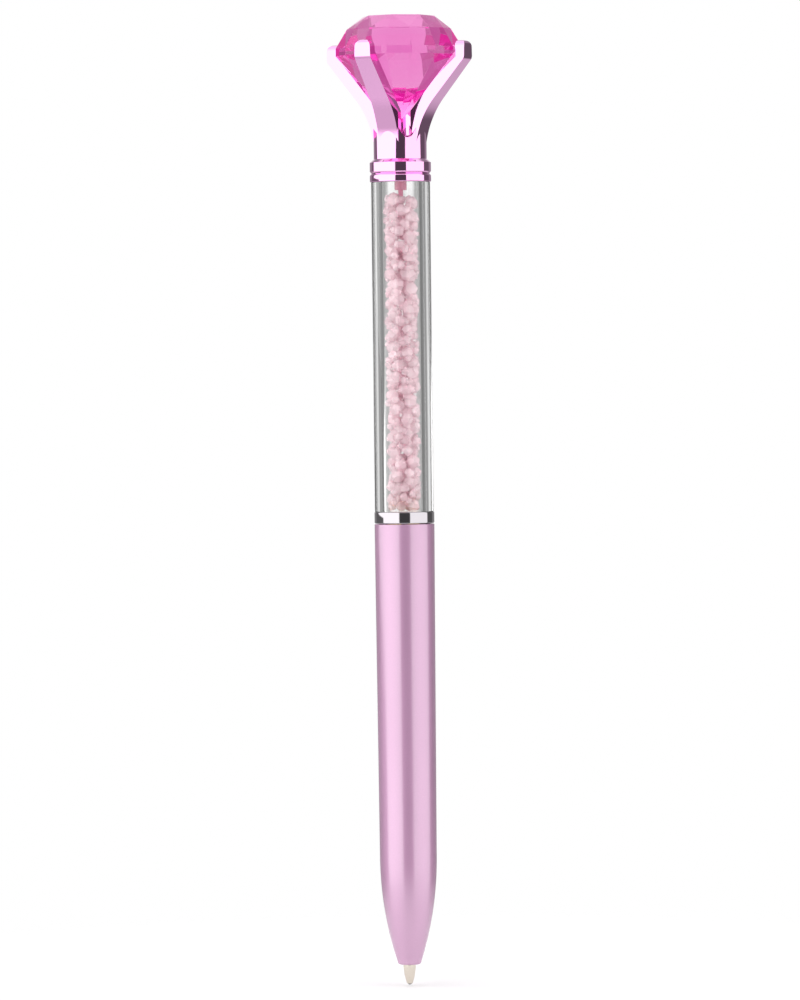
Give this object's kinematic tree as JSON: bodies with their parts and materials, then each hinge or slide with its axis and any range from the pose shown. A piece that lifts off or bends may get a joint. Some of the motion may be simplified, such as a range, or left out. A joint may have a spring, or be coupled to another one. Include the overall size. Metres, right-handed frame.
{
  "type": "gel pen",
  "caption": "Twist gel pen with a faceted gem held in claws, a clear upper barrel filled with crystals, a polished ring and a tapered lower barrel.",
  "frame": {"origin": "on the pen's axis, at the lowest point of the writing ball with the point out", "axes": "+Z along the pen from the point to the gem; +X and +Y across it, with -Y the side that the first view looks at"},
  "size_m": [0.0212, 0.0212, 0.142],
  "materials": {
    "barrel_lacquer": "satin metallic",
    "ring_chrome": "polished",
    "crown_plating": "polished pink plating",
    "gem_acrylic": "clear pink, polished facets",
    "tube_acrylic": "clear, polished",
    "crystal_glass": "clear pale pink, faceted",
    "stopper_plastic": "gloss",
    "point_metal": "fine turned",
    "ball_carbide": "polished",
    "turned_brass": "turned",
    "spring_steel": "bright",
    "bush_plastic": "moulded",
    "slider_plastic": "moulded",
    "seal_rubber": "matt",
    "refill_plastic": "translucent",
    "ink": "wet black gel",
    "follower_grease": "clear grease"
  },
  "bodies": {
    "barrel": {"lower_barrel": "barrel_lacquer", "nose_bush": "bush_plastic", "barrel_bush": "bush_plastic"},
    "mechanism": {"guide_sleeve": "turned_brass", "jacket_tube": "turned_brass", "snap_ring": "spring_steel"},
    "upper": {"cam_sleeve": "turned_brass", "friction_ring": "seal_rubber", "connector": "turned_brass", "centre_ring": "ring_chrome", "clear_tube": "tube_acrylic", "crystals": "crystal_glass", "chamber_stopper": "stopper_plastic", "trim_ring": "crown_plating", "crown": "crown_plating", "gem": "gem_acrylic"},
    "refill": {"refill_slider": "slider_plastic", "slider_pin": "spring_steel", "refill_tube": "refill_plastic", "point_cone": "point_metal", "gel_ink": "ink", "ink_follower": "follower_grease", "vent_plug": "slider_plastic"},
    "ball": {"writing_ball": "ball_carbide"}
  },
  "joints": [
    {"name": "barrel_pull", "type": "slide", "parent": "barrel", "child": "mechanism", "axis": [0, 0, 1], "range_m": [0, 0.068]},
    {"name": "twist", "type": "hinge", "parent": "mechanism", "child": "upper", "pos_m": [0, 0, 0.0677], "axis": [0, 0, 1], "range_deg": [0, 180]},
    {"name": "refill_slide", "type": "slide", "parent": "mechanism", "child": "refill", "axis": [0, 0, 1], "range_m": [0, 0.0045]},
    {"name": "ball_roll", "type": "hinge", "parent": "refill", "child": "ball", "pos_m": [0, 0, 0.00035], "axis": [1, 0, 0], "continuous": true}
  ],
  "couplings": [
    {"joint": "refill_slide", "follows": "twist", "m_per_rad": 0.0014323}
  ]
}
